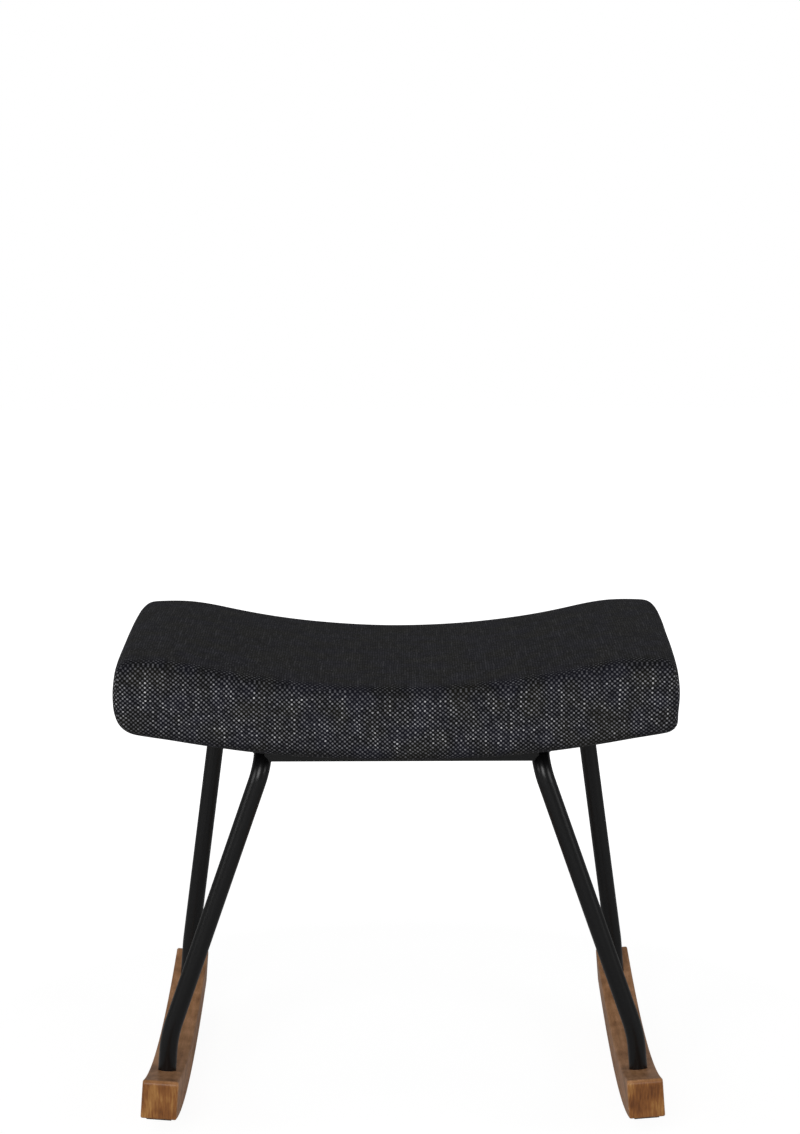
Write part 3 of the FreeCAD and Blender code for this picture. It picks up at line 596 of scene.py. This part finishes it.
def buildDustCover():
    across, deep = dustForm["cells"]
    halfX = seatForm["width"] / 2 - dustForm["inset"]
    halfY = seatForm["depth"] / 2 - dustForm["inset"]
    hemWidth = seatForm["hemInset"] - dustForm["inset"]
    mesh = bmesh.new()
    grid = {}
    for i in range(across + 1):
        for j in range(deep + 1):
            x, y = roundCorner((2 * i / across - 1) * halfX, (2 * j / deep - 1) * halfY, halfX, halfY,
                               dustForm["corner"])
            fromEdge = min(halfX - abs(x), halfY - abs(y))
            blend = max(0.0, min(1.0, (fromEdge - hemWidth) / dustForm["stepLength"]))
            level = dustForm["onHem"] + (dustForm["underBoard"] - dustForm["onHem"]) * blend
            level += dustForm["slack"] * noise.noise(Vector((x, y, 0)) / dustForm["slackWave"]) * blend
            grid[i, j] = mesh.verts.new((x, y - seatForm["forward"], underside(x) + level))
    fillGrid(mesh, grid, across, deep, facesUp=False)
    sheetPiece = newPiece("dustCover", mesh)
    thick = sheetPiece.modifiers.new("clothThickness", "SOLIDIFY")
    thick.thickness = dustForm["thickness"]
    thick.offset = 0
    return sheetPiece, 2 * halfX, 2 * halfY


dustCover, sheetWidth, sheetLength = buildDustCover()
dustCover.data.materials.append(plainMaterials["spunBondedCloth"])
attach(dustCover, "root")
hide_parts("dust_cover")
print("dust cover built")


# plain pale floor and soft light; fadeFrom, fadeTo and floorReach are in metres
studio = {
    "floorColour": "#d6d6d6", "floorRoughness": 0.9, "floorReach": 6.0, "floorGlow": 1.245,
    "floorShare": 0.75,      # how much of the glow the camera sees close to the stool
    "fadeFrom": 0.5, "fadeTo": 1.3,
    "worldStrength": 0.2,
}


def addFloor():
    reach = studio["floorReach"]
    corners = [(-reach, -reach, 0), (reach, -reach, 0), (reach, reach, 0), (-reach, reach, 0)]
    data = bpy.data.meshes.new("floor")
    data.from_pydata(corners, [], [(0, 1, 2, 3)])
    floor = bpy.data.objects.new("floor", data)
    bpy.context.scene.collection.objects.link(floor)
    material, tree, shader = newMaterial("paleFloor")
    fillInputs(tree, shader, {"Base Color": linear(studio["floorColour"]),
                              "Roughness": studio["floorRoughness"]})
    glow = addNode(tree, "Emission", inputs={"Color": linear("#ffffff"), "Strength": studio["floorGlow"]})
    # shadows show close to the stool, and further out the floor fades into the white backdrop
    place = addNode(tree, "TexCoord").outputs["Object"]
    away = addNode(tree, "VectorMath", place, operation="LENGTH").outputs["Value"]
    fade = addNode(tree, "MapRange", inputs={"Value": away, "From Min": studio["fadeFrom"],
                                             "From Max": studio["fadeTo"],
                                             "To Min": studio["floorShare"], "To Max": 1.0})
    isSeen = addNode(tree, "LightPath").outputs["Is Camera Ray"]
    share = addNode(tree, "Math", isSeen, fade, operation="MULTIPLY")
    mixed = addNode(tree, "MixShader", share, shader, glow)
    output = next(node for node in tree.nodes if node.type == "OUTPUT_MATERIAL")
    fillInputs(tree, output, {"Surface": mixed})
    data.materials.append(material)


def addWorld():
    world = bpy.data.worlds.new("studio")
    bpy.context.scene.world = world
    world.use_nodes = True
    tree = world.node_tree
    background = next(node for node in tree.nodes if node.type == "BACKGROUND")
    path = addNode(tree, "LightPath").outputs
    isSeen = addNode(tree, "Math", path["Is Camera Ray"], path["Is Transmission Ray"], operation="MAXIMUM")
    strength = addNode(tree, "Mix", inputs={"Factor": isSeen, "A": studio["worldStrength"], "B": 1.0})
    fillInputs(tree, background, {"Color": linear("#ffffff"), "Strength": strength})


# places, aims and widths in metres
lamps = {
    "frontSoftbox": {"place": (-0.5, -3.0, 1.5), "aim": (0, 0, 0.3), "width": 1.2, "watts": 36},
    "leftSoftbox": {"place": (-2.2, -1.2, 1.0), "aim": (0, 0, 0.25), "width": 1.0, "watts": 11},
    "rightSoftbox": {"place": (2.2, -1.2, 1.0), "aim": (0, 0, 0.25), "width": 1.0, "watts": 11},
}


def addLamps():
    for name, setting in lamps.items():
        data = bpy.data.lights.new(name, "AREA")
        data.size = setting["width"]
        data.energy = setting["watts"]
        lamp = bpy.data.objects.new(name, data)
        lamp.location = setting["place"]
        towards = Vector(setting["aim"]) - Vector(setting["place"])
        lamp.rotation_euler = towards.to_track_quat("-Z", "Y").to_euler()
        bpy.context.scene.collection.objects.link(lamp)


# where the photograph was taken from, in metres and radians
shot = {
    "aside": -0.001, "distance": 2.6331, "height": 1.0052, "tiltDown": 0.1751, "roll": -0.0033,
    "focalPixels": 2647.2,
    "longSide": 1134,        # pixels
    "sensor": 36,            # mm, along the long side
}


def addCamera():
    data = bpy.data.cameras.new("camera")
    data.sensor_width = shot["sensor"]
    data.lens = shot["focalPixels"] * shot["sensor"] / shot["longSide"]
    camera = bpy.data.objects.new("camera", data)
    camera.location = (shot["aside"], -shot["distance"], shot["height"])
    camera.rotation_mode = "XYZ"
    level = Vector((0, math.cos(shot["tiltDown"]), -math.sin(shot["tiltDown"]))).to_track_quat("-Z", "Y")
    turn = level.to_matrix().to_4x4() @ Matrix.Rotation(shot["roll"], 4, "Z")
    camera.rotation_euler = turn.to_euler()
    bpy.context.scene.collection.objects.link(camera)
    bpy.context.scene.camera = camera


addFloor()
addWorld()
addLamps()
addCamera()
bpy.context.scene.view_settings.view_transform = "Standard"
print("stage, lamps and camera are set")
